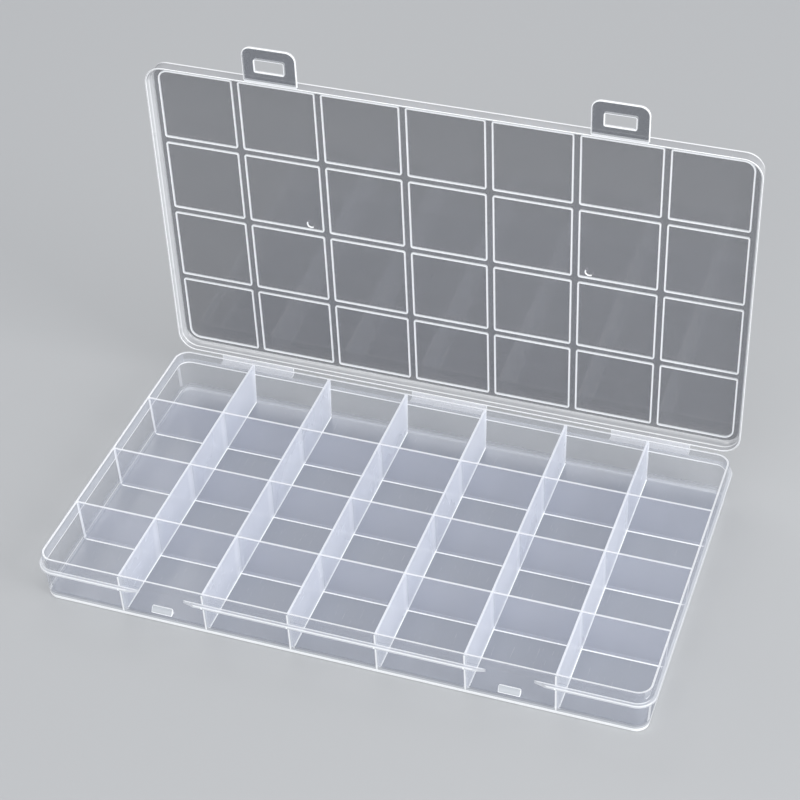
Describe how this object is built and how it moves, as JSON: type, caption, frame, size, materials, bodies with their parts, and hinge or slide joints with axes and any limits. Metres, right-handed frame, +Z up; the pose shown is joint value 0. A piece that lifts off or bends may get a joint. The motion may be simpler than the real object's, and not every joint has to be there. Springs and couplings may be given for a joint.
{
  "type": "hinged compartment box",
  "caption": "Shallow clear box of fixed square compartments under one flat lid, with film-hinge strips along the back and slotted latch tabs along the front.",
  "frame": {"origin": "centre of the tray's flat underside", "axes": "+X along the tray's long side, +Y from the latch side to the hinge side, +Z up out of the compartments"},
  "size_m": [0.2136, 0.1305, 0.1528],
  "materials": {
    "tray_plastic": "natural translucent polypropylene, moulded",
    "divider_plastic": "natural translucent polypropylene, moulded",
    "catch_plastic": "natural translucent polypropylene, moulded",
    "lid_plastic": "natural translucent polypropylene, moulded",
    "rib_plastic": "natural translucent polypropylene, moulded",
    "strip_plastic": "natural translucent polypropylene, moulded",
    "tab_plastic": "natural translucent polypropylene, moulded"
  },
  "bodies": {
    "tray": {"tray_shell": "tray_plastic", "long_divider_1": "divider_plastic", "long_divider_2": "divider_plastic", "long_divider_3": "divider_plastic", "long_divider_4": "divider_plastic", "long_divider_5": "divider_plastic", "long_divider_6": "divider_plastic", "cross_divider_1_1": "divider_plastic", "cross_divider_1_2": "divider_plastic", "cross_divider_1_3": "divider_plastic", "cross_divider_1_4": "divider_plastic", "cross_divider_1_5": "divider_plastic", "cross_divider_1_6": "divider_plastic", "cross_divider_1_7": "divider_plastic", "cross_divider_2_1": "divider_plastic", "cross_divider_2_2": "divider_plastic", "cross_divider_2_3": "divider_plastic", "cross_divider_2_4": "divider_plastic", "cross_divider_2_5": "divider_plastic", "cross_divider_2_6": "divider_plastic", "cross_divider_2_7": "divider_plastic", "cross_divider_3_1": "divider_plastic", "cross_divider_3_2": "divider_plastic", "cross_divider_3_3": "divider_plastic", "cross_divider_3_4": "divider_plastic", "cross_divider_3_5": "divider_plastic", "cross_divider_3_6": "divider_plastic", "cross_divider_3_7": "divider_plastic", "latch_catch_1": "catch_plastic", "latch_catch_2": "catch_plastic", "hinge_strip_tray_leaf_1": "strip_plastic", "hinge_strip_tray_leaf_2": "strip_plastic", "hinge_strip_tray_leaf_3": "strip_plastic"},
    "lid": {"lid_shell": "lid_plastic", "lid_rib_frames_row_1": "rib_plastic", "lid_rib_frames_row_2": "rib_plastic", "lid_rib_frames_row_3": "rib_plastic", "lid_rib_frames_row_4": "rib_plastic", "hinge_strip_lid_leaf_1": "strip_plastic", "hinge_strip_lid_leaf_2": "strip_plastic", "hinge_strip_lid_leaf_3": "strip_plastic"},
    "latch_left": {"latch_tab_1": "tab_plastic"},
    "latch_right": {"latch_tab_2": "tab_plastic"}
  },
  "joints": [
    {"name": "lid_hinge", "type": "hinge", "parent": "tray", "child": "lid", "pos_m": [0, 0.06372, 0.01375], "axis": [-1, 0, 0], "range_deg": [-88, 92]},
    {"name": "latch_left_fold", "type": "hinge", "parent": "lid", "child": "latch_left", "pos_m": [-0.06, 0.05948, 0.13938], "axis": [1, 0, 0], "range_deg": [0, 100]},
    {"name": "latch_right_fold", "type": "hinge", "parent": "lid", "child": "latch_right", "pos_m": [0.06, 0.05948, 0.13938], "axis": [1, 0, 0], "range_deg": [0, 100]}
  ]
}
